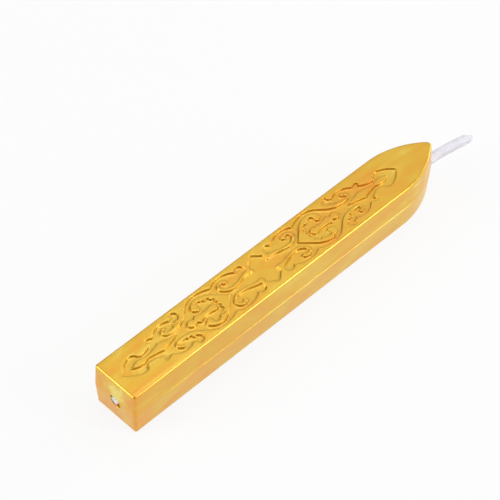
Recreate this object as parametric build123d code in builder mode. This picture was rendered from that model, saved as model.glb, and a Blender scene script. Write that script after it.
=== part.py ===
"""A stick of sealing wax with a cast-in wick: a square bar with a pointed tip and scrollwork on its top.

Frame: millimetres, +Z up. The origin is the middle of the flat underside, half way along the bar.
+X runs to the pointed tip, where the wick comes out.
"""

from build123d import *

import os
from math import degrees

# Wax bar: widths at the mould's parting line, at the top face and at the underside
bar_length = 90.0
bar_height = 11.3
parting_height = 5.8
parting_width = 11.9
top_width = 11.3
base_width = 11.1
tip_length = 13.7
nose_radius = 0.95
butt_corner_radius = 0.4
top_edge_radius = 0.4
base_edge_radius = 0.3
largest_edge_share = 0.8  # an edge is rounded by at most this share of the corners it goes round

# Wick: a braided core in a coat of white wax, with a stub that bends past the tip
core_diameter = 1.5
coat_thickness = 0.4
cast_gap = 0.02
wick_height = 5.5
wick_free_length = 11.8
wick_bend_radius = 41.0
wick_bend_lean = 18.0

# Shrink hole round the wick's end in the butt
butt_hole_gap = 0.26
butt_hole_depth = 1.5
wick_end_recess = 0.1

# Scrollwork field on the top face: its plain borders and its depth
butt_border = 2.55
tip_border = 10.9
side_border = 0.88
relief_depth = 0.5

# A quarter of the scrollwork, drawn from the middle of the field: points are (along, across)
# Two points make a line, three an arc and more a spline
# Outer edge of the field, lobe by lobe from its middle to its end
field_lobes = [
    [(0, 4.25), (0.75, 3.85), (1.3, 3.3), (1.7, 3.0), (2.05, 2.72)],
    [(2.05, 2.72), (2.05, 1.2)],
    [(2.05, 1.2), (3.08, 1.2)],
    [(3.08, 1.2), (3.08, 3.4)],
    [(3.08, 3.4), (3.98, 4.14), (5.0, 3.4)],
    [(5.0, 3.4), (8.4, 4.68), (11.6, 3.9)],
    [(11.6, 3.9), (13.0, 4.4), (15.4, 4.85), (18.3, 4.0), (20.4, 2.2), (21.5, 1.55), (23.0, 1.22)],
    [(23.0, 1.22), (21.3, 2.5)],
    [(21.3, 2.5), (20.72, 3.75)],
    [(20.72, 3.75), (21.75, 4.72), (23.0, 3.5)],
    [(23.0, 3.5), (25.9, 4.08), (28.3, 2.75)],
    [(28.3, 2.75), (29.1, 3.08), (29.9, 3.2)],
    [(29.9, 3.2), (29.95, 2.85), (29.5, 2.35)],
    [(29.5, 2.35), (30.8, 1.48), (32.4, 1.12)],
    [(32.4, 1.12), (33.4, 1.33), (33.75, 2.0)],
    [(33.75, 2.0), (34.65, 2.43), (35.8, 2.18)],
    [(35.8, 2.18), (37.5, 1.25), (38.7, 0)],
]

# Figures that stand in the field, edge by edge
heart_edges = [
    [(9.6, 0), (12.2, 2.45)],
    [(12.2, 2.45), (13.8, 3.6), (15.5, 4.05)],
    [(15.5, 4.05), (16.9, 3.8), (17.85, 3.05)],
    [(17.85, 3.05), (18.1, 2.1), (17.4, 1.45)],
    [(17.4, 1.45), (16.65, 1.52), (16.5, 2.2)],
    [(16.5, 2.2), (16.5, 2.75), (16.2, 3.0)],
    [(16.2, 3.0), (15.75, 3.12), (15.3, 2.85)],
    [(15.3, 2.85), (14.5, 2.8), (13.6, 2.45)],
    [(13.6, 2.45), (12.75, 1.5)],
    [(12.75, 1.5), (12.95, 1.0), (12.65, 0.5)],
    [(12.65, 0.5), (12.8, 0.25), (12.85, 0)],
]
flame_edges = [
    [(13.45, 0), (13.72, 0.66), (14.4, 0.9)],
    [(14.4, 0.9), (16.6, 0.58), (18.65, 1.1)],
    [(18.65, 1.1), (19.0, 0.75), (19.4, 0.5)],
    [(19.4, 0.5), (20.4, 0.92), (21.35, 0)],
]
diamond_edges = [
    [(24.3, 0), (28.5, 1.08)],
    [(28.5, 1.08), (30.0, 0.7), (32.2, 0.3)],
    [(32.2, 0.3), (34.4, 0.73), (36.3, 0)],
]
figures = [heart_edges, flame_edges, diamond_edges]

# C-scrolls that spring from the border, as points of the middle line: (along, across, width)
# Each arc runs through three of them and starts where the last one ends
inner_scroll = [
    (2.4, 1.78, 1.16),
    (3.6, 1.73, 0.95),
    (4.8, 1.5, 0.68),
    (6.0, 1.15, 0.65),
    (7.4, 0.93, 0.65),
    (9.1, 1.15, 0.7),
    (10.15, 2.1, 0.75),
    (9.9, 3.25, 0.72),
    (8.4, 3.2, 0.7),
]
outer_scroll = [
    (20.0, 3.7, 0.7),
    (21.0, 2.65, 0.8),
    (22.2, 1.83, 0.82),
    (23.8, 1.45, 0.76),
    (25.4, 1.5, 0.7),
    (26.05, 2.2, 0.7),
    (25.3, 2.88, 0.62),
]
# Round ends of their curls
inner_bulb_radius = 0.55
outer_bulb_radius = 0.42
scrolls = [(inner_scroll, inner_bulb_radius), (outer_scroll, outer_bulb_radius)]

# Worked out from the sizes above
tip_x = bar_length / 2
butt_x = -bar_length / 2
top_inset = (parting_width - top_width) / 2
base_inset = (parting_width - base_width) / 2
coat_diameter = core_diameter + 2 * cast_gap + 2 * coat_thickness
bore_diameter = coat_diameter + 2 * cast_gap
butt_hole_diameter = bore_diameter + 2 * butt_hole_gap
wick_start_x = butt_x + wick_end_recess
field_half_length = (bar_length - butt_border - tip_border) / 2
field_half_width = top_width / 2 - side_border
field_centre_x = butt_x + butt_border + field_half_length
drawn_half_length = max(along for lobe in field_lobes for along, across in lobe)
drawn_half_width = max(across for lobe in field_lobes for along, across in lobe)
bend_angle = degrees(wick_free_length / wick_bend_radius)


def on_face(along, across):
    """A drawn point of the scrollwork, spread over the real field."""
    length_scale = field_half_length / drawn_half_length
    width_scale = field_half_width / drawn_half_width
    return (along * length_scale, across * width_scale)


def draw_edge(points):
    """One edge of the scrollwork."""
    placed = [on_face(*point) for point in points]
    if len(placed) == 2:
        Line(*placed)
    elif len(placed) == 3:
        ThreePointArc(*placed)
    else:
        Spline(*placed)


def scroll_sides(route):
    """Points down both sides of a scroll, half its width off the middle line."""
    middle_line = Spline(*[on_face(along, across) for along, across, width in route], mode=Mode.PRIVATE)
    left = []
    right = []
    for along, across, width in route:
        here = Vector(*on_face(along, across))
        sideways = middle_line.tangent_at(here).rotate(Axis.Z, 90) * width / 2
        left.append(here + sideways)
        right.append(here - sideways)
    return left, right


scroll_lines = [scroll_sides(route) for route, bulb_radius in scrolls]


# Plan of the bar at the parting line, with corners that keep their radii where it is drawn in
corner_growth = max(top_inset, base_inset)
nose_at_parting = nose_radius + corner_growth
butt_corner_at_parting = butt_corner_radius + corner_growth
half_width = parting_width / 2
tip_run = tip_length - nose_at_parting
tip_radius = (tip_run**2 + half_width**2 - nose_at_parting**2) / (2 * (half_width - nose_at_parting))
tip_centre = Vector(tip_x - tip_length, half_width - tip_radius)
nose_centre = Vector(tip_x - nose_at_parting, 0)
nose_direction = (nose_centre - tip_centre).normalized()


def rounded_edge(radius, inset):
    """The radius of an edge, limited by the corners that it goes round in the plan drawn in that far."""
    return min(radius, largest_edge_share * (min(nose_at_parting, butt_corner_at_parting) - inset))


def bar_outline(inset):
    """The bar seen from above, drawn in all round: two arcs to a round nose, and a square butt."""
    nose_side = tip_centre + nose_direction * (tip_radius - inset)
    shoulder = (tip_centre.X, half_width - inset)
    butt_corner = (butt_x + inset, half_width - inset)
    TangentArc((tip_x - inset, 0), nose_side, tangent=(0, 1))
    TangentArc(shoulder, nose_side, tangent=(1, 0))
    FilletPolyline(shoulder, butt_corner, (butt_x + inset, 0), radius=butt_corner_at_parting - inset)
    mirror(about=Plane.XZ)


# Wax bar: drawn in from the parting line to its two faces
with BuildPart() as wax_body:
    plans = []
    for level, inset in [(0, base_inset), (parting_height, 0), (bar_height, top_inset)]:
        with BuildSketch(Plane.XY.offset(level)) as plan:
            with BuildLine():
                bar_outline(inset)
            make_face()
        plans.append(plan.sketch)
    loft(sections=plans[:2], ruled=True)
    loft(sections=plans[1:], ruled=True)
    fillet(wax_body.faces().sort_by(Axis.Z)[-1].edges(), radius=rounded_edge(top_edge_radius, top_inset))
    fillet(wax_body.faces().sort_by(Axis.Z)[0].edges(), radius=rounded_edge(base_edge_radius, base_inset))

    # Scrollwork field, sunk all over but for the figures and scrolls that stand in it
    with BuildSketch(Plane((field_centre_x, 0, bar_height))) as field:
        with BuildLine():
            for lobe in field_lobes:
                draw_edge(lobe)
            Polyline(on_face(*field_lobes[-1][-1]), (0, 0), on_face(*field_lobes[0][0]))
        make_face()
        for edges in figures:
            with BuildLine():
                for edge in edges:
                    draw_edge(edge)
                Line(on_face(*edges[-1][-1]), on_face(*edges[0][0]))
            make_face(mode=Mode.SUBTRACT)
        for (route, bulb_radius), (left, right) in zip(scrolls, scroll_lines):
            with BuildLine():
                for side in (left, right):
                    for first in range(0, len(side) - 2, 2):
                        ThreePointArc(*side[first : first + 3])
                Line(left[0], right[0])
                Line(left[-1], right[-1])
            make_face(mode=Mode.SUBTRACT)
            with Locations(on_face(*route[-1][:2])):
                Circle(bulb_radius, mode=Mode.SUBTRACT)
        mirror(about=Plane.XZ)
        mirror(about=Plane.YZ)
    extrude(field.sketch, amount=-relief_depth, mode=Mode.SUBTRACT)

    # Bore that the wick is cast into, from end to end, and the shrink hole round the wick's butt end
    with Locations(Plane((butt_x, 0, wick_height), z_dir=(-1, 0, 0))):
        CounterBoreHole(bore_diameter / 2, butt_hole_diameter / 2, butt_hole_depth)

# Wick: straight through the bar, then one gentle bend sideways and a little down
bend_plane = Plane((0, 0, wick_height)).rotated((wick_bend_lean, 0, 0))
wick_section = Plane(origin=(wick_start_x, 0, wick_height), x_dir=(0, 1, 0), z_dir=(1, 0, 0))

with BuildLine(bend_plane) as wick_path:
    through = Line((wick_start_x, 0), (tip_x, 0))
    JernArc(through @ 1, through % 1, radius=wick_bend_radius, arc_size=-bend_angle)

with BuildPart() as wick_core:
    with BuildSketch(wick_section):
        Circle(core_diameter / 2)
    sweep(path=wick_path.line)

with BuildPart() as wick_coat:
    with BuildSketch(wick_section):
        Circle(coat_diameter / 2)
        Circle(core_diameter / 2 + cast_gap, mode=Mode.SUBTRACT)
    sweep(path=wick_path.line)

os.makedirs("parts", exist_ok=True)
for name, piece in [("wax_body", wax_body), ("wick_core", wick_core), ("wick_coat", wick_coat)]:
    piece.part.label = name
    export_step(piece.part, f"parts/{name}.step")
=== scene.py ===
"""Looks of a sealing wax stick: a bar of pearly wax with soft scrollwork on its top, and a primed wick.

Frame: +Z up, as in the CAD model. Shapes are worked out in millimetres, and meshes are made in metres.
"""

import itertools
from math import atan2, cos, hypot, pi, radians, sin, sqrt

import bpy
import numpy as np
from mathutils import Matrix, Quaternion, Vector, noise
from mathutils.geometry import delaunay_2d_cdt


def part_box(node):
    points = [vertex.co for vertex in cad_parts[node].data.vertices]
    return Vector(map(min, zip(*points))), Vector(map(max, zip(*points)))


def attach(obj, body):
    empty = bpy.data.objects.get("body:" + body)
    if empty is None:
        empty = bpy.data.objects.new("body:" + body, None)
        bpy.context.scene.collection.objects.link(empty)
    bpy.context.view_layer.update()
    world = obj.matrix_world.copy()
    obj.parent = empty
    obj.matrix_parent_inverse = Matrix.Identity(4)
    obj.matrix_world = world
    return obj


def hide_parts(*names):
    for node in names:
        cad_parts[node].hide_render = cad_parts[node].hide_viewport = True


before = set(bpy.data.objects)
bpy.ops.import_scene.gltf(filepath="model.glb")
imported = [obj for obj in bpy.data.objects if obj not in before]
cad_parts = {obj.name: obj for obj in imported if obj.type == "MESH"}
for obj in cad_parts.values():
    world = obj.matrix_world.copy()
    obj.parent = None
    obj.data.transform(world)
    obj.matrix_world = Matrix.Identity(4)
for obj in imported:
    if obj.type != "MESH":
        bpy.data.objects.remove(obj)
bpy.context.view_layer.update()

MM = 0.001

# Wax bar, as in the CAD model: the frame gives its box, and these sizes give its form
wax_low, wax_high = (np.array(corner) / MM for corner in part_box("wax_body"))
butt_x = wax_low[0]
tip_x = -butt_x
half_width = wax_high[1]
bar_height = wax_high[2]
parting_height = 5.8
top_inset = 0.3
base_inset = 0.4
tip_length = 13.7
nose_radius = 1.35
butt_corner_radius = 0.85
top_edge_radius = 0.5
base_edge_radius = 0.3

# A fine ledge along the parting line, where the mould halves met. It dies out at both ends
ledge = 0.068
ledge_rise = 0.1
ledge_rows = 4
ledge_guard = 0.1
ledge_from_butt = 1.5
ledge_from_tip = 5.0
ledge_fade = 9.0

# Softness of the cast: how far the surface sinks in places, and over what distance
cast_sink = 0.04
cast_sink_span = 9.0

# How finely the bar is divided: round its plan, up its section and over its two ends
nose_steps = 8
tip_steps = 30
side_steps = 64
corner_steps = 8
butt_steps = 9
edge_steps = 7
side_rows = 10
nose_patch_reach = 2.4
nose_patch_step = 0.2
butt_patch_step = 0.35

# Scrollwork: its depth, and the section of its walls as (how far inside the field's edge, how deep)
relief_depth = 0.5
wall_section = [
    (-0.24, 0.0), (-0.16, 0.012), (-0.09, 0.045), (-0.04, 0.11),
    (0.0, 0.22), (0.035, 0.4), (0.08, 0.48), (0.12, 0.5),
]

# Grid on which the scrollwork is softened, and the spacing of its points
relief_reach = 0.4
relief_step = 0.05
relief_softness = 0.045
wall_spacing = 0.1
shortest_line = 0.6
flat_spacing = 0.6
flat_margin = 0.3

# Bumps on the edges of the scrolls, in one quarter of the field: (along, across, radius) from its middle
bumps = [
    (14.2, 2.7, 0.42), (13.0, 2.05, 0.36), (12.65, 1.0, 0.3),
    (21.75, 2.45, 0.38), (22.9, 1.85, 0.36), (22.6, 4.3, 0.62),
]

# Wick: its free end bends by stretches, as (length, radius)
wick_height = 5.5
coat_radius = 1.17
core_radius = 0.75
core_gap = 0.02
wick_recess = 0.15
worn_radius = 0.93
worn_length = 1.2
wick_free_length = 11.75
wick_taper = 0.04
wick_bends = [(2.5, 23.0), (9.3, 110.0)]
wick_bend_lean = radians(18)
wick_sides = 48
wick_rows = 90
core_cap_shares = (0.93, 0.7, 0.45, 0.2)

# Braid and pinches that show through the wick's coat
braid_pitch = 2.2
braid_strands = 4
braid_relief = 0.015
pinch_depth = 0.03
pinch_span = 3.1

# Snipped end of the wick: two slopes that meet in a soft ridge
cut_ridge = 0.28
cut_slope_above = 1.98
cut_slope_below = 0.59
cut_softness = 0.06
cut_side = radians(20)

# Bore round the wick, and the oval shrink hole round its end in the butt
bore_radius = 1.19
hole_radius = 1.21
hole_depth = 1.5
hole_rim = 0.12
hole_half_length = 1.5
hole_half_width = 1.02
hole_shift = 0.28
hole_turn = radians(210)
hole_sides = 64
rim_steps = 5

# Gold wax: tones are (place on the ramp, screen colour), and scales are waves in a metre along each axis
gold_tones = [
    (0.20, (238, 162, 49)),
    (0.34, (235, 173, 52)),
    (0.48, (233, 183, 56)),
    (0.62, (235, 190, 64)),
    (0.85, (243, 218, 104)),
]
swirl_scale = (55, 130, 130)
swirl_distortion = 1.6
# A paler round patch above the shrink hole
pale_patch_middle = (butt_x * MM, -0.3 * MM, 8.6 * MM)
pale_patch_scale = (250, 250, 250)
pale_patch_share = 0.75
# Orange towards the butt: partly the wax's own tone, partly a painted glow of light through the wax at its
# corner
tint_and_glow_start = (-39 * MM, 0, 0)
tint_and_glow_scale = (-160, 160, 160)
tint_and_glow_share = -0.22
streak_scale = (40, 520, 520)
streak_distortion = 0.9
streak_from = 18 * MM
streak_full = 38 * MM
streak_share = 0.85
grain_scale = (700, 900, 900)
grain_height = 0.02 * MM
grain_strength = 0.25
gold_roughness = (0.3, 0.38)
gold_shader = {
    "Metallic": 0.73,
    "Specular IOR Level": 0.0,
    "Coat Weight": 0.35,
    "Coat IOR": 1.8,
    "Coat Roughness": 0.12,
    "Subsurface Weight": 0.06,
    "Subsurface Radius": (1.0, 0.5, 0.15),
    "Subsurface Scale": 0.4 * MM,
}

# Priming wax on the wick
wick_wax_tones = [
    (0.3, (238, 236, 252)),
    (0.7, (248, 246, 255)),
]
mottle_scale = (500, 900, 900)
mottle_height = 0.02 * MM
mottle_strength = 0.15
wick_wax_roughness = (0.4, 0.55)
wick_wax_shader = {
    "Subsurface Weight": 0.4,
    "Subsurface Radius": (1.0, 1.0, 1.0),
    "Subsurface Scale": 0.5 * MM,
}

# Cotton of the wick's core
cotton_tones = [
    (0.3, (236, 233, 228)),
    (0.7, (253, 252, 249)),
]
fibre_scale = (900, 4000, 4000)
fibre_height = 0.05 * MM
fibre_strength = 0.6
cotton_shader = {"Roughness": 0.9, "Sheen Weight": 0.3}

# An edge sharper than this between two faces stays crisp
sharp_angle = radians(55)

# Floor, in metres. The glow is the share of it that shows as plain white
floor_side = 4.0
floor_drop = 0.02 * MM
floor_glow = 0.86
floor_tones = [
    (0.3, (248, 248, 248)),
    (0.7, (252, 252, 252)),
]
floor_patch_scale = (3, 3, 3)
floor_shader = {"Roughness": 0.8, "Specular IOR Level": 0.0}

# World: its light, and the white band round the horizon, which fades between two heights of a way
white = (1.0, 1.0, 1.0, 1.0)
world_strength = 0.045
band_full = 0.12
band_end = 0.16

# Lamps: (name, way from the stick, distance, width and height in metres, power in watts)
right_way = (0.46, -0.77, 0.44)
lamps = [
    ("right_strip", right_way, 0.7, 0.12, 0.6, 1.7),
    ("right_light", right_way, 0.7, 0.45, 0.5, 0.9),
    ("left_light", (-0.77, 0.45, 0.44), 0.7, 0.4, 0.6, 2.6),
    ("tip_light", (0.9, -0.15, 0.4), 0.7, 0.25, 0.4, 1.2),
    ("far_light", (0.456, 0.452, 0.767), 0.9, 0.7, 0.7, 1.33),
    ("top_light", (0.0, 0.0, 1.0), 0.9, 0.85, 0.85, 2.8),
]

# Camera, at the photograph's viewing angle
camera_place = (-210.68, -200.68, 361.03)
camera_aim = (0.47, 8.72, 5.5)
camera_roll = radians(0.81)
camera_lens = 163.63
sensor_width = 36.0
nearest_view = 10.0


def smooth_step(share):
    """0 below 0, 1 above 1 and a smooth rise between."""
    share = np.clip(share, 0, 1)
    return share * share * (3 - 2 * share)


def middle_of(points):
    """The middle of some points in a plane."""
    return sum(points, Vector((0, 0))) / len(points)


class Shell:
    """Points and faces of a mesh while it is put together, in millimetres."""

    def __init__(self):
        self.points = []
        self.faces = []

    def add(self, points):
        """Adds points and returns their numbers."""
        first = len(self.points)
        self.points.extend(tuple(map(float, point)) for point in points)
        return list(range(first, len(self.points)))

    def band(self, ring, following, flip=False, skip=()):
        """Joins two closed rings of points by a band of quads."""
        count = len(ring)
        for here in range(count):
            if here in skip:
                continue
            after = (here + 1) % count
            quad = (ring[here], ring[after], following[after], following[here])
            self.faces.append(quad[::-1] if flip else quad)

    def fill(self, loops, inner, axes, flip=False, hole=None):
        """Fills the region in the first loop with triangles that keep to all loops, seen along an axis."""
        numbers = [number for loop in loops for number in loop] + list(inner)
        flat = [Vector([self.points[number][axis] for axis in axes]) for number in numbers]
        edges = []
        first = 0
        for loop in loops:
            count = len(loop)
            edges += [(first + here, first + (here + 1) % count) for here in range(count)]
            first += count
        inside_only = 1
        same_place = 1e-6
        made = delaunay_2d_cdt(flat, edges, [], inside_only, same_place)
        for triangle in made[2]:
            corners = [made[3][corner][0] for corner in triangle]
            if hole is not None and hole(*middle_of([flat[corner] for corner in corners])):
                continue
            face = tuple(numbers[corner] for corner in corners)
            self.faces.append(face[::-1] if flip else face)

    def to_object(self, name):
        """A smooth mesh object in metres, of the points that its faces use."""
        used = sorted({number for face in self.faces for number in face})
        places = {number: place for place, number in enumerate(used)}
        points = [tuple(axis * MM for axis in self.points[number]) for number in used]
        mesh = bpy.data.meshes.new(name)
        mesh.from_pydata(points, [], [[places[number] for number in face] for face in self.faces])
        mesh.shade_smooth()
        made = bpy.data.objects.new(name, mesh)
        bpy.context.scene.collection.objects.link(made)
        return made


# Plan of the bar at the parting line

tip_run = tip_length - nose_radius
tip_radius = (tip_run**2 + half_width**2 - nose_radius**2) / (2 * (half_width - nose_radius))
tip_centre = np.array([tip_x - tip_length, half_width - tip_radius])
nose_centre = np.array([tip_x - nose_radius, 0])
nose_turn = atan2(*(nose_centre - tip_centre)[::-1])
butt_corner_centre = np.array([butt_x + butt_corner_radius, half_width - butt_corner_radius])


def arc(centre, radius, start, end, steps):
    """Points of an arc and the way out at each. The last point is left to what follows."""
    turns = np.linspace(start, end, steps, endpoint=False)
    ways = np.stack([np.cos(turns), np.sin(turns)], axis=1)
    return centre + radius * ways, ways


def run(start, end, way, steps):
    """Points of a straight run and the way out. The last point is left to what follows."""
    shares = np.linspace(0, 1, steps, endpoint=False)[:, None]
    return np.array(start) * (1 - shares) + np.array(end) * shares, np.tile(way, (steps, 1))


half_plan = [
    arc(nose_centre, nose_radius, 0, nose_turn, nose_steps),
    arc(tip_centre, tip_radius, nose_turn, pi / 2, tip_steps),
    run((tip_centre[0], half_width), (butt_corner_centre[0], half_width), (0, 1), side_steps),
    arc(butt_corner_centre, butt_corner_radius, pi / 2, pi, corner_steps),
    run((butt_x, butt_corner_centre[1]), (butt_x, 0), (-1, 0), butt_steps),
]
half_points, half_ways = (np.concatenate(parts) for parts in zip(*half_plan))
mirrored = np.array([1, -1])
plan_points = np.concatenate([half_points, [[butt_x, 0]], half_points[:0:-1] * mirrored])
plan_ways = np.concatenate([half_ways, [[-1, 0]], half_ways[:0:-1] * mirrored])


# Section of the side from the underside to the top, as (inset, height)

def rounded(corner, before, after, radius, steps):
    """Points of the arc that rounds one corner of a line."""
    corner, before, after = (np.array(point, float) for point in (corner, before, after))
    back = (before - corner) / np.linalg.norm(before - corner)
    ahead = (after - corner) / np.linalg.norm(after - corner)
    half_turn = np.arccos(np.clip(back @ ahead, -1, 1)) / 2
    middle = (back + ahead) / np.linalg.norm(back + ahead)
    centre = corner + middle * radius / sin(half_turn)
    start = corner + back * radius / np.tan(half_turn) - centre
    end = corner + ahead * radius / np.tan(half_turn) - centre
    turn = pi - 2 * half_turn
    made = []
    for share in np.linspace(0, 1, steps):
        made.append(centre + (sin((1 - share) * turn) * start + sin(share * turn) * end) / sin(turn))
    return made


def side_points(low, high, heights):
    """Points of a straight stretch of the section at those heights."""
    return [(np.interp(height, (low[1], high[1]), (low[0], high[0])), height) for height in heights]


base_corner = (base_inset, 0)
base_middle = (half_width, 0)
parting = (0, parting_height)
top_corner = (top_inset, bar_height)
top_middle = (half_width, bar_height)
base_arc = rounded(base_corner, base_middle, parting, base_edge_radius, edge_steps)
top_arc = rounded(top_corner, parting, top_middle, top_edge_radius, edge_steps)
ledge_heights = parting_height + ledge_rise * np.linspace(0, 1, ledge_rows)[1:]
lower_heights = np.linspace(base_arc[-1][1], parting_height - ledge_guard, side_rows)[1:]
upper_heights = np.linspace(ledge_heights[-1] + ledge_guard, top_arc[0][1], side_rows)[:-1]
lower_side = side_points(base_arc[-1], parting, [*lower_heights, parting_height])
upper_side = side_points(parting, top_arc[0], [*ledge_heights, *upper_heights])
section = np.array([*base_arc, *lower_side, *upper_side, *top_arc])
low_row = edge_steps - 1
high_row = len(section) - edge_steps


def inset_at(height):
    """How far the side stands in from the parting line's plan at a height."""
    return np.interp(height, section[:, 1], section[:, 0])


def ledge_inset(along, height):
    """How much further in the side stands over the ledge: most just above it, nothing at ends and top."""
    rise = np.clip((height - parting_height) / ledge_rise, 0, 1)
    left = np.clip((bar_height - height) / (bar_height - parting_height), 0, 1)
    from_butt = smooth_step((along - butt_x - ledge_from_butt) / ledge_fade)
    from_tip = smooth_step((tip_x - ledge_from_tip - along) / ledge_fade)
    return ledge * rise * left * from_butt * from_tip


# Scrollwork

def field_edges():
    """Edges of the scrollwork's floor in the CAD mesh, as pairs of plan points."""
    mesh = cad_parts["wax_body"].data
    floor = bar_height - relief_depth
    near = 0.01
    corners = [tuple(round(axis / MM, 4) for axis in vertex.co) for vertex in mesh.vertices]
    uses = {}
    for polygon in mesh.polygons:
        around = [corners[number] for number in polygon.vertices]
        if any(abs(corner[2] - floor) > near for corner in around):
            continue
        for start, end in zip(around, around[1:] + around[:1]):
            edge = frozenset((start[:2], end[:2]))
            uses[edge] = uses.get(edge, 0) + 1
    return [tuple(edge) for edge, count in uses.items() if count == 1 and len(edge) == 2]


def field_depth(edges, xs, ys):
    """How far inside the scrollwork field each point of a grid lies, below 0 outside, up to the reach."""
    distance = np.full((len(ys), len(xs)), relief_reach)
    flips = np.zeros((len(ys), len(xs) + 1), bool)
    for (ax, ay), (bx, by) in edges:
        columns = slice(*np.searchsorted(xs, [min(ax, bx) - relief_reach, max(ax, bx) + relief_reach]))
        rows = slice(*np.searchsorted(ys, [min(ay, by) - relief_reach, max(ay, by) + relief_reach]))
        right = xs[columns][None, :] - ax
        up = ys[rows][:, None] - ay
        dx, dy = bx - ax, by - ay
        share = np.clip((right * dx + up * dy) / (dx * dx + dy * dy), 0, 1)
        near = distance[rows, columns]
        np.minimum(near, np.hypot(right - share * dx, up - share * dy), out=near)
        for row in np.nonzero((ys > min(ay, by)) & (ys <= max(ay, by)))[0]:
            crossing = ax + (ys[row] - ay) * dx / dy
            flips[row, np.searchsorted(xs, crossing)] ^= True
    inside = np.logical_xor.accumulate(flips, axis=1)[:, :-1]
    return np.where(inside, distance, -distance)


def add_bumps(depth, xs, ys, middle_x):
    """Takes the bumps, in all four quarters, out of the field."""
    for along, across, radius in bumps:
        for x, y in itertools.product((middle_x - along, middle_x + along), (-across, across)):
            outside = np.hypot(xs[None, :] - x, ys[:, None] - y) - radius
            np.minimum(depth, outside, out=depth)


def blurred(grid, spread, axis):
    """A grid smoothed along one axis, by a bell curve that many cells wide."""
    reach = int(3 * spread) + 1
    shifts = np.arange(-reach, reach + 1)
    weights = np.exp(-((shifts / spread) ** 2) / 2)
    padding = [(reach, reach) if number == axis else (0, 0) for number in range(2)]
    padded = np.pad(grid, padding, mode="edge")
    count = grid.shape[axis]
    parts = [np.take(padded, range(start, start + count), axis) for start in range(len(shifts))]
    return sum(weight * part for weight, part in zip(weights / weights.sum(), parts))


def crossings(xs, ys, grid, level):
    """Places where a grid passes a level between neighbours, by doubled row and column numbers."""
    above = grid > level
    found = {}
    for down, along in ((0, 1), (1, 0)):
        here = grid[: len(ys) - down, : len(xs) - along]
        there = grid[down:, along:]
        rows, columns = np.nonzero(above[: len(ys) - down, : len(xs) - along] != above[down:, along:])
        share = (level - here[rows, columns]) / (there[rows, columns] - here[rows, columns])
        shift = share * relief_step
        places = np.column_stack([xs[columns] + along * shift, ys[rows] + down * shift])
        for row, column, place in zip(rows.tolist(), columns.tolist(), places):
            found[2 * row + down, 2 * column + along] = place
    return found


def level_lines(xs, ys, grid, level):
    """Closed lines along which a grid has one value."""
    found = crossings(xs, ys, grid, level)
    cells = {}
    for row, column in found:
        for side in (-1, 1):
            cell = (row + side, column) if row % 2 == 0 else (row, column + side)
            cells.setdefault(cell, []).append((row, column))
    links = {place: [] for place in found}
    for (row, column), places in cells.items():
        if len(places) == 4:
            places = [(row - 1, column), (row, column - 1), (row + 1, column), (row, column + 1)]
        for one, other in zip(places[::2], places[1::2]):
            links[one].append(other)
            links[other].append(one)
    lines = []
    while links:
        ahead = next(iter(links))
        line = []
        while ahead in links:
            line.append(found[ahead])
            one, other = links.pop(ahead)
            ahead = one if one in links else other
        lines.append(np.array(line))
    return lines


def evenly_spaced(line, spacing):
    """A closed line with points that far apart."""
    closed = np.vstack([line, line[:1]])
    gone = np.concatenate([[0], np.cumsum(np.hypot(*np.diff(closed, axis=0).T))])
    places = np.linspace(0, gone[-1], int(gone[-1] / spacing), endpoint=False)
    return np.column_stack([np.interp(places, gone, closed[:, axis]) for axis in (0, 1)])


def lattice(low, high, step):
    """Points of an even triangular lattice in a box."""
    made = []
    for row, up in enumerate(np.arange(low[1], high[1], step * sin(pi / 3))):
        for along in np.arange(low[0] + row % 2 * step / 2, high[0], step):
            made.append((along, up))
    return made


def top_relief(shell):
    """Puts the scrollwork's points into a shell: lines along its walls, and points on its flats."""
    edges = field_edges()
    corners = np.array(edges).reshape(-1, 2)
    low = corners.min(axis=0) - 2 * relief_reach
    high = corners.max(axis=0) + 2 * relief_reach
    xs, ys = (np.arange(low[axis], high[axis], relief_step) for axis in (0, 1))
    depth = field_depth(edges, xs, ys)
    add_bumps(depth, xs, ys, middle_x=(low[0] + high[0]) / 2)
    for axis in (0, 1):
        depth = blurred(depth, relief_softness / relief_step, axis)
    loops = []
    for level, sunk in wall_section:
        for line in level_lines(xs, ys, depth, level):
            if np.hypot(*np.diff(line, axis=0).T).sum() > shortest_line:
                line = evenly_spaced(line, wall_spacing)
                heights = np.full(len(line), bar_height - sunk)
                loops.append(shell.add(np.column_stack([line, heights])))
    flats = []
    for x, y in lattice((butt_x, -half_width), (tip_x, half_width), flat_spacing):
        column, row = np.searchsorted(xs, x), np.searchsorted(ys, y)
        on_grid = 0 < row < len(ys) and 0 < column < len(xs)
        inside = depth[row, column] if on_grid else -relief_reach
        if abs(inside) > flat_margin and abs(y) < half_width - 2 * flat_spacing:
            flats.append((x, y, bar_height - relief_depth * (inside > 0)))
    return loops, shell.add(flats)


# Wax bar

hole_turns = np.arange(hole_sides) * 2 * pi / hole_sides


def nose_x(y, z):
    """Where the nose and the tip's flanks lie at a place across and a height."""
    inset = inset_at(z)
    if abs(y) < (nose_radius - inset) * sin(nose_turn):
        return nose_centre[0] + np.sqrt((nose_radius - inset) ** 2 - y * y)
    return tip_centre[0] + np.sqrt((tip_radius - inset) ** 2 - (abs(y) - tip_centre[1]) ** 2)


def butt_face_x(y, z):
    """Where the butt lies at a height."""
    return butt_x + inset_at(z)


def round_hole(radius, turn):
    """A place on a round hole about the wick, across and up."""
    return radius * cos(turn), wick_height + radius * sin(turn)


def bore_reach(turn):
    """How far the bore reaches from the wick's middle."""
    return bore_radius


def hole_reach(turn):
    """How far the shrink hole reaches from the wick's middle: an oval, shifted to one side."""
    along = cos(turn - hole_turn) / hole_half_length
    aside = sin(turn - hole_turn) / hole_half_width
    shift = hole_shift / hole_half_length
    size = along**2 + aside**2
    return (along * shift + sqrt((along * shift) ** 2 + size * (1 - shift**2))) / size


def rim_reach(turn):
    """How far the rim of the shrink hole reaches from the wick's middle."""
    return hole_reach(turn) + hole_rim


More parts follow.
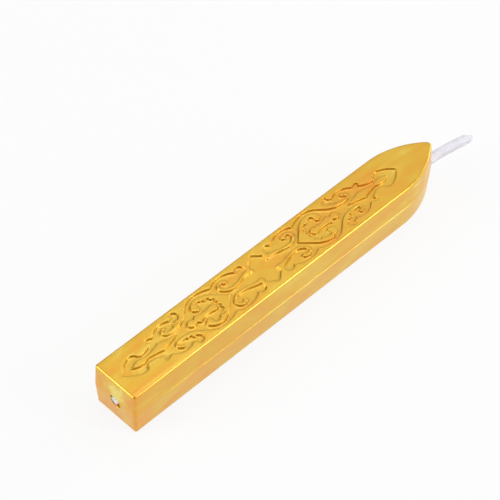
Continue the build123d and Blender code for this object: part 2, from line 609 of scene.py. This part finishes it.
def close_end(shell, rows, columns, step, surface_x, reach_at, flip):
    """Closes one end of the bar between the rows of its sides, and returns the ring of the wick's hole."""
    bottom = [rows[low_row][column] for column in columns]
    top = [rows[high_row][column] for column in reversed(columns)]
    far_side = [rows[row][columns[-1]] for row in range(low_row + 1, high_row)]
    near_side = [rows[row][columns[0]] for row in range(high_row - 1, low_row, -1)]
    boundary = bottom + far_side + top + near_side
    edge = np.array([shell.points[number] for number in boundary])
    reach = np.abs(edge[[0, len(bottom) - 1], 1]).min() - step / 2
    low = (-reach, edge[:, 2].min() + step / 2)
    high = (reach, edge[:, 2].max() - step / 2)
    mouth = [round_hole(reach_at(turn), turn) for turn in hole_turns]
    ring = shell.add((surface_x(y, z), y, z) for y, z in mouth)

    def in_hole(y, z, margin=0):
        up = z - wick_height
        return hypot(y, up) < reach_at(atan2(up, y)) + margin

    inner = [(y, z) for y, z in lattice(low, high, step) if not in_hole(y, z, step / 2)]
    inner = shell.add((surface_x(y, z), y, z) for y, z in inner)
    shell.fill([boundary, ring], inner, (1, 2), flip, in_hole)
    return ring


def line_hole(shell, ring):
    """Lines the shrink hole from its mouth: a rounded rim, then a wall down to its floor's edge."""
    rolls = np.linspace(0, pi / 2, rim_steps)[1:]
    steps = [(hole_rim * (1 - sin(roll)), hole_rim * (1 - cos(roll))) for roll in rolls]
    steps.append((0, hole_depth))
    for outward, deep in steps:
        following = []
        narrowed = deep / hole_depth
        for turn in hole_turns:
            reach = hole_reach(turn) * (1 - narrowed) + hole_radius * narrowed + outward
            y, z = round_hole(reach, turn)
            following.append((butt_face_x(y, wick_height) + deep, y, z))
        following = shell.add(following)
        shell.band(ring, following, flip=True)
        ring = following
    return ring


def make_wax():
    """The wax bar with its scrollwork, its bore and the shrink hole in its butt."""
    shell = Shell()
    rows = []
    for inset, height in section:
        drawn_in = inset + ledge_inset(plan_points[:, 0], height)
        plan = plan_points - drawn_in[:, None] * plan_ways
        rows.append(shell.add(np.column_stack([plan, np.full(len(plan), height)])))
    count = len(plan_points)
    nose_edge = int(np.argmax(plan_points[:, 1] > nose_patch_reach))
    butt_edge = nose_steps + tip_steps + side_steps + corner_steps
    nose_columns = list(range(-nose_edge, nose_edge + 1))
    butt_columns = list(range(butt_edge, count - butt_edge + 1))
    ends = {column % count for column in nose_columns[:-1] + butt_columns[:-1]}
    for row in range(len(rows) - 1):
        shell.band(rows[row], rows[row + 1], skip=ends if low_row <= row < high_row else ())

    wall_lines, flats = top_relief(shell)
    shell.fill([rows[-1], *wall_lines], flats, (0, 1))
    shell.fill([rows[0]], [], (0, 1), flip=True)

    mouth = close_end(shell, rows, butt_columns, butt_patch_step, butt_face_x, rim_reach, flip=True)
    floor_edge = line_hole(shell, mouth)
    bore_start = shell.add((butt_x + hole_depth, *round_hole(bore_radius, turn)) for turn in hole_turns)
    shell.band(floor_edge, bore_start, flip=True)
    bore_end = close_end(shell, rows, nose_columns, nose_patch_step, nose_x, bore_reach, flip=False)
    shell.band(bore_start, bore_end, flip=True)
    return shell.to_object("wax_bar")


def sink_in(piece):
    """Lets the cast surface sink a little in places, as wax does where it sets last."""
    mesh = piece.data
    places = np.empty(3 * len(mesh.vertices))
    ways = np.empty_like(places)
    mesh.vertices.foreach_get("co", places)
    mesh.vertex_normals.foreach_get("vector", ways)
    places = places.reshape(-1, 3) / MM
    ways = ways.reshape(-1, 3)
    from_axis = np.hypot(places[:, 1], places[:, 2] - wick_height)
    free = (places[:, 2] > base_edge_radius) & (from_axis > hole_radius)
    waves = np.array([noise.noise(Vector(place / cast_sink_span)) for place in places])
    places -= ways * (free * cast_sink * (1 + waves) / 2)[:, None]
    mesh.vertices.foreach_set("co", (places * MM).ravel())
    mesh.update()


# Wick

def wick_frame(along):
    """Middle of the wick and its ways sideways and up, at a length past the tip, below 0 in the bar."""
    bend_way = np.array([0, -cos(wick_bend_lean), -sin(wick_bend_lean)])
    up = np.array([0, -sin(wick_bend_lean), cos(wick_bend_lean)])
    forward = np.array([1.0, 0, 0])
    middle = np.array([tip_x + min(along, 0), 0, wick_height])
    turn = 0.0
    left = max(along, 0)
    for length, radius in wick_bends:
        start = turn
        turn += min(left, length) / radius
        left -= min(left, length)
        ahead = sin(turn) - sin(start)
        aside = cos(start) - cos(turn)
        middle = middle + radius * (forward * ahead + bend_way * aside)
    return middle, -bend_way * cos(turn) + forward * sin(turn), up


def snipped_length(across_cut):
    """How far the wick reaches along a line on one side of it: its end is snipped from two sides."""
    past = (across_cut - cut_ridge) / cut_softness
    above = cut_slope_above * np.logaddexp(0, past)
    below = cut_slope_below * np.logaddexp(0, -past)
    return wick_free_length - cut_softness * (above + below)


def braid(along, turn):
    """Relief of the braid, from 0 in a furrow to 1 on a strand."""
    one_way = sin(braid_strands * turn + 2 * pi * along / braid_pitch)
    other_way = sin(braid_strands * turn - 2 * pi * along / braid_pitch)
    return 0.5 + (one_way * other_way) / 2


def tube_ring(radius, share, relief):
    """A ring of the wick: share is 0 at the butt end, 1 at the tip's nose and 2 at the snipped end."""
    butt_end = butt_x + wick_recess - tip_x
    made = []
    for number in range(wick_sides):
        turn = number * 2 * pi / wick_sides
        reach = snipped_length(radius * cos(turn - cut_side))
        along = butt_end * (1 - share) if share <= 1 else reach * (share - 1)
        middle, side, up = wick_frame(along)
        pinch = pinch_depth * (0.5 + noise.noise(Vector((along / pinch_span, cos(turn), sin(turn)))) / 2)
        worn_in = braid_relief * (1 - braid(along, turn)) + pinch + wick_taper * max(share - 1, 0)
        out = radius - relief * worn_in
        made.append(middle + out * (side * cos(turn) + up * sin(turn)))
    return made


def make_coat():
    """Priming wax on the wick, with the braid showing through."""
    shell = Shell()
    inside = core_radius + core_gap
    worn = worn_length / (2 * tip_x)
    shares = [worn, *np.linspace(1, 2, wick_rows)]
    rings = [shell.add(tube_ring(worn_radius, 0, relief=0))]
    rings += [shell.add(tube_ring(coat_radius, share, relief=1)) for share in shares]
    rings += [shell.add(tube_ring(inside, share, relief=0)) for share in (2, 1, 0)]
    for ring, following in zip(rings, rings[1:] + rings[:1]):
        shell.band(ring, following)
    return shell.to_object("wick_coat_wax")


def make_core():
    """Braided cotton inside the wick, which shows at its two cut ends."""
    shell = Shell()
    caps = [core_radius * share for share in core_cap_shares]
    rings = [shell.add(tube_ring(radius, 0, relief=0)) for radius in reversed(caps)]
    rings += [shell.add(tube_ring(core_radius, share, relief=0)) for share in (0, 1, 2)]
    rings += [shell.add(tube_ring(radius, 2, relief=0)) for radius in caps]
    for ring, following in zip(rings, rings[1:]):
        shell.band(ring, following)
    shell.faces.append(tuple(reversed(rings[0])))
    shell.faces.append(tuple(rings[-1]))
    return shell.to_object("wick_core_braid")


# Nodes

def linear(value):
    """A 0 to 255 screen value as an amount of light, from 0 to 1."""
    share = value / 255
    return share / 12.92 if share <= 0.04045 else ((share + 0.055) / 1.055) ** 2.4


def add_node(tree, kind, inputs=None, **settings):
    """A node with its settings and the values of its inputs."""
    node = tree.nodes.new(kind)
    for name, value in settings.items():
        setattr(node, name, value)
    for name, value in (inputs or {}).items():
        node.inputs[name].default_value = value
    return node


def start_material(name, shader_values):
    """A new material, its node tree and its shader with those values."""
    material = bpy.data.materials.new(name)
    material.use_nodes = True
    shader = material.node_tree.nodes["Principled BSDF"]
    for socket, value in shader_values.items():
        shader.inputs[socket].default_value = value
    return material, material.node_tree, shader


def calculate(tree, operation, *values):
    """The result of a math node, whose values are numbers or outputs of other nodes."""
    node = add_node(tree, "ShaderNodeMath", operation=operation)
    for socket, value in zip(node.inputs, values):
        if isinstance(value, bpy.types.NodeSocket):
            tree.links.new(value, socket)
        else:
            socket.default_value = value
    return node.outputs["Value"]


def stretched_place(tree, scale, middle=(0, 0, 0)):
    """Object coordinates in metres from a middle point, scaled along each axis."""
    place = add_node(tree, "ShaderNodeTexCoord")
    shift = [-share * start for share, start in zip(scale, middle)]
    mapping = add_node(tree, "ShaderNodeMapping", {"Scale": scale, "Location": shift})
    tree.links.new(place.outputs["Object"], mapping.inputs["Vector"])
    return mapping.outputs["Vector"]


def one_axis(tree, coordinates, axis):
    """One axis of a kind of coordinates."""
    place = add_node(tree, "ShaderNodeTexCoord")
    axes = add_node(tree, "ShaderNodeSeparateXYZ")
    tree.links.new(place.outputs[coordinates], axes.inputs["Vector"])
    return axes.outputs[axis]


def noise_at(tree, scale, **inputs):
    """A noise texture over the object, scaled along each axis."""
    texture = add_node(tree, "ShaderNodeTexNoise", {"Scale": 1.0, **inputs})
    tree.links.new(stretched_place(tree, scale), texture.inputs["Vector"])
    return texture.outputs["Fac"]


def gradient_at(tree, kind, scale, middle):
    """A gradient over the object from a middle point, scaled along each axis."""
    texture = add_node(tree, "ShaderNodeTexGradient", gradient_type=kind)
    tree.links.new(stretched_place(tree, scale, middle), texture.inputs["Vector"])
    return texture.outputs["Fac"]


def spread(tree, value, low, high, start=0.0, end=1.0):
    """A value between a start and an end, spread between two others."""
    limits = {"From Min": start, "From Max": end, "To Min": low, "To Max": high}
    node = add_node(tree, "ShaderNodeMapRange", limits)
    tree.links.new(value, node.inputs["Value"])
    return node.outputs["Result"]


def paint(tree, value, tones, shader):
    """Gives a shader the colours of a ramp over a value."""
    node = add_node(tree, "ShaderNodeValToRGB")
    elements = node.color_ramp.elements
    while len(elements) < len(tones):
        elements.new(1.0)
    for element, (place, screen_colour) in zip(elements, tones):
        element.position = place
        element.color = (*map(linear, screen_colour), 1.0)
    tree.links.new(value, node.inputs["Fac"])
    tree.links.new(node.outputs["Color"], shader.inputs["Base Color"])


def bump(tree, height, shader, distance, strength):
    """Fine relief on a shader's surface."""
    node = add_node(tree, "ShaderNodeBump", {"Distance": distance, "Strength": strength})
    tree.links.new(height, node.inputs["Height"])
    tree.links.new(node.outputs["Normal"], shader.inputs["Normal"])


def show_mix(tree, output, share, first, second):
    """Shows two shaders mixed: the first where the share is 0, the second where it is 1."""
    mixed = add_node(tree, "ShaderNodeMixShader")
    tree.links.new(share, mixed.inputs["Fac"])
    tree.links.new(first, mixed.inputs[1])
    tree.links.new(second, mixed.inputs[2])
    tree.links.new(mixed.outputs["Shader"], tree.nodes[output].inputs["Surface"])


def background_ray(tree):
    """1 for a ray that should see the plain background: from the camera, a gloss or through glass."""
    path = add_node(tree, "ShaderNodeLightPath").outputs
    seen = calculate(tree, "MAXIMUM", path["Is Camera Ray"], path["Is Glossy Ray"])
    return calculate(tree, "MAXIMUM", seen, path["Is Transmission Ray"])


# Materials

def gold_wax():
    """Pearly gold wax: swirls and streaks of deep and pale gold mica in a satin wax."""
    material, tree, shader = start_material("gold_wax", gold_shader)
    swirl = noise_at(tree, swirl_scale, Detail=3.0, Roughness=0.5, Distortion=swirl_distortion)
    # Paler in a round patch above the shrink hole
    pale_patch = gradient_at(tree, "SPHERICAL", pale_patch_scale, pale_patch_middle)
    tone = calculate(tree, "MULTIPLY_ADD", pale_patch, pale_patch_share, swirl)
    # More orange towards the butt: partly the wax's own tone, partly a painted glow of light through the
    # wax at the butt's corner
    tint_and_glow = gradient_at(tree, "LINEAR", tint_and_glow_scale, tint_and_glow_start)
    tone = calculate(tree, "MULTIPLY_ADD", tint_and_glow, tint_and_glow_share, tone)
    # Streaks along the bar, stronger towards both ends
    streaks = noise_at(tree, streak_scale, Detail=2.0, Distortion=streak_distortion)
    about_zero = calculate(tree, "SUBTRACT", streaks, 0.5)
    from_middle = calculate(tree, "ABSOLUTE", one_axis(tree, "Object", "X"))
    strength = spread(tree, from_middle, 0.0, streak_share, streak_from, streak_full)
    tone = calculate(tree, "MULTIPLY_ADD", about_zero, strength, tone)
    paint(tree, tone, gold_tones, shader)
    tree.links.new(spread(tree, swirl, *gold_roughness), shader.inputs["Roughness"])
    bump(tree, noise_at(tree, grain_scale, Detail=2.0), shader, grain_height, grain_strength)
    return material


def wick_wax():
    """Thin white priming wax, slightly see-through and a little uneven."""
    material, tree, shader = start_material("wick_wax", wick_wax_shader)
    mottle = noise_at(tree, mottle_scale, Detail=3.0)
    paint(tree, mottle, wick_wax_tones, shader)
    tree.links.new(spread(tree, mottle, *wick_wax_roughness), shader.inputs["Roughness"])
    bump(tree, mottle, shader, mottle_height, mottle_strength)
    return material


def cotton():
    """White braided cotton, seen end on."""
    material, tree, shader = start_material("wick_cotton", cotton_shader)
    fibres = noise_at(tree, fibre_scale, Detail=4.0)
    paint(tree, fibres, cotton_tones, shader)
    bump(tree, fibres, shader, fibre_height, fibre_strength)
    return material


def pale_floor():
    """White floor that keeps a faint shadow, with a slight unevenness."""
    material, tree, shader = start_material("pale_floor", floor_shader)
    paint(tree, noise_at(tree, floor_patch_scale), floor_tones, shader)
    glow = add_node(tree, "ShaderNodeEmission", {"Strength": 1.0})
    share = calculate(tree, "MULTIPLY", background_ray(tree), floor_glow)
    show_mix(tree, "Material Output", share, shader.outputs["BSDF"], glow.outputs["Emission"])
    return material


# Stage

def make_floor():
    """A wide plain floor under the stick."""
    shell = Shell()
    half = floor_side / 2 / MM
    down = -floor_drop / MM
    corners = ((-half, -half), (half, -half), (half, half), (-half, half))
    shell.faces.append(tuple(shell.add((x, y, down) for x, y in corners)))
    floor = shell.to_object("floor")
    floor.data.materials.append(pale_floor())


def make_world():
    """Even light from all round, and a white band round the horizon, where the background shows."""
    world = bpy.data.worlds.new("studio")
    world.use_nodes = True
    bpy.context.scene.world = world
    tree = world.node_tree
    light = tree.nodes["Background"]
    light.inputs["Color"].default_value = white
    light.inputs["Strength"].default_value = world_strength
    plain = add_node(tree, "ShaderNodeBackground", {"Color": white, "Strength": 1.0})
    band = spread(tree, one_axis(tree, "Generated", "Z"), 1.0, 0.0, band_full, band_end)
    share = calculate(tree, "MULTIPLY", background_ray(tree), band)
    show_mix(tree, "World Output", share, light.outputs["Background"], plain.outputs["Background"])


def soft_box(name, way, distance, width, height, power):
    """A soft light that looks at the stick from one way."""
    data = bpy.data.lights.new(name, "AREA")
    data.shape = "RECTANGLE"
    data.size = width
    data.size_y = height
    data.energy = power
    lamp = bpy.data.objects.new(name, data)
    lamp.location = Vector(way).normalized() * distance
    lamp.rotation_mode = "QUATERNION"
    lamp.rotation_quaternion = (-lamp.location).to_track_quat("-Z", "Y")
    bpy.context.scene.collection.objects.link(lamp)


def make_camera():
    """The camera, turned to its aim and rolled about its own axis."""
    data = bpy.data.cameras.new("camera")
    data.lens = camera_lens
    data.sensor_width = sensor_width
    data.clip_start = nearest_view * MM
    camera = bpy.data.objects.new("camera", data)
    camera.location = Vector(camera_place) * MM
    camera.rotation_mode = "QUATERNION"
    level = (Vector(camera_aim) - Vector(camera_place)).to_track_quat("-Z", "Y")
    camera.rotation_quaternion = level @ Quaternion((0, 0, 1), camera_roll)
    bpy.context.scene.collection.objects.link(camera)
    bpy.context.scene.camera = camera


def finish_piece(piece, material, node):
    """Gives a piece its material and crisp edges, puts it under the root body and hides the CAD node that
    it stands for.
    """
    piece.data.materials.append(material)
    piece.data.set_sharp_from_angle(angle=sharp_angle)
    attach(piece, "root")
    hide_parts(node)


wax = make_wax()
sink_in(wax)
finish_piece(wax, gold_wax(), "wax_body")
finish_piece(make_coat(), wick_wax(), "wick_coat")
finish_piece(make_core(), cotton(), "wick_core")

make_floor()
make_world()
for lamp_values in lamps:
    soft_box(*lamp_values)
make_camera()
bpy.context.scene.view_settings.view_transform = "Standard"
